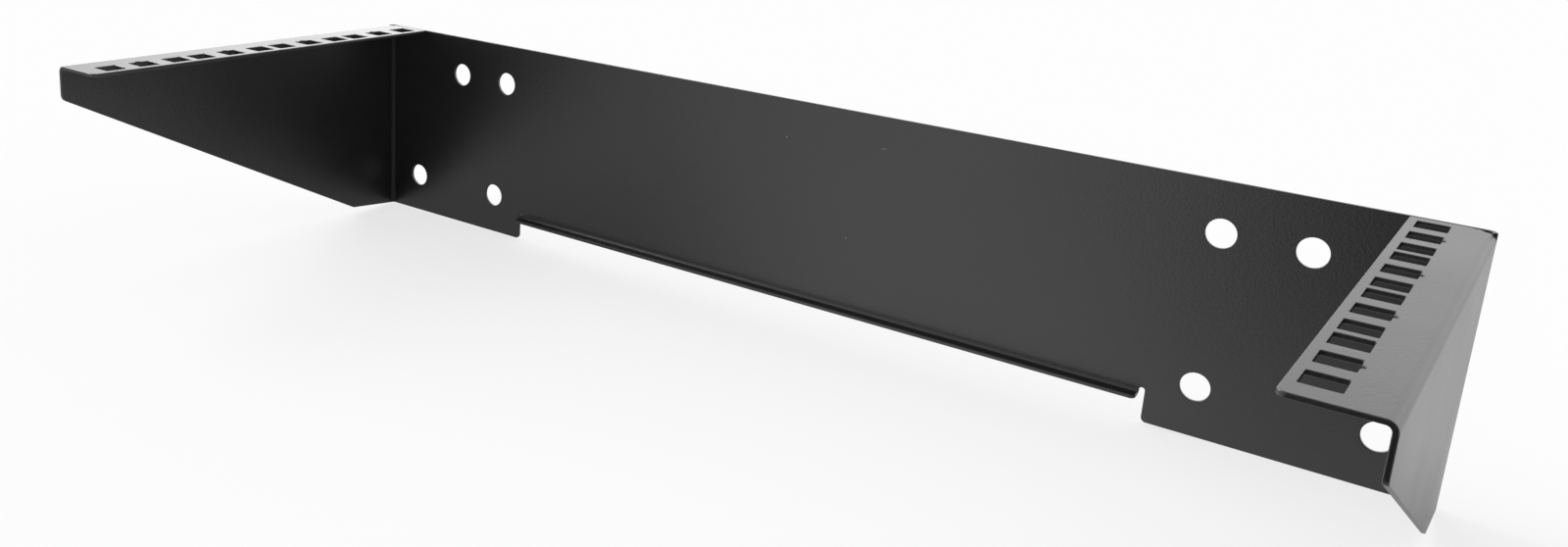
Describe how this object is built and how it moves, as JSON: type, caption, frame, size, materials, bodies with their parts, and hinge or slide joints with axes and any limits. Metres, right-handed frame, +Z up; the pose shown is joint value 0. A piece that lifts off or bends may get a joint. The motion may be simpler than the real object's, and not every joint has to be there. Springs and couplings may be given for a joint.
{
  "type": "vertical wall mount rack bracket",
  "caption": "Folded steel bracket that fixes to a wall and holds rack equipment upright between two arms, with square-punched mounting rails along their tops.",
  "frame": {"origin": "centre of the back panel's rear face, the one that lies on the wall, at half the panel's height", "axes": "+X to the right seen from the room, +Y into the wall, +Z up; the arms reach along -Y"},
  "size_m": [0.5, 0.1891, 0.0966],
  "materials": {
    "powder_coat": "fine-textured satin black powder coat"
  },
  "bodies": {
    "root": {"wall_bracket": "powder_coat"}
  },
  "joints": []
}
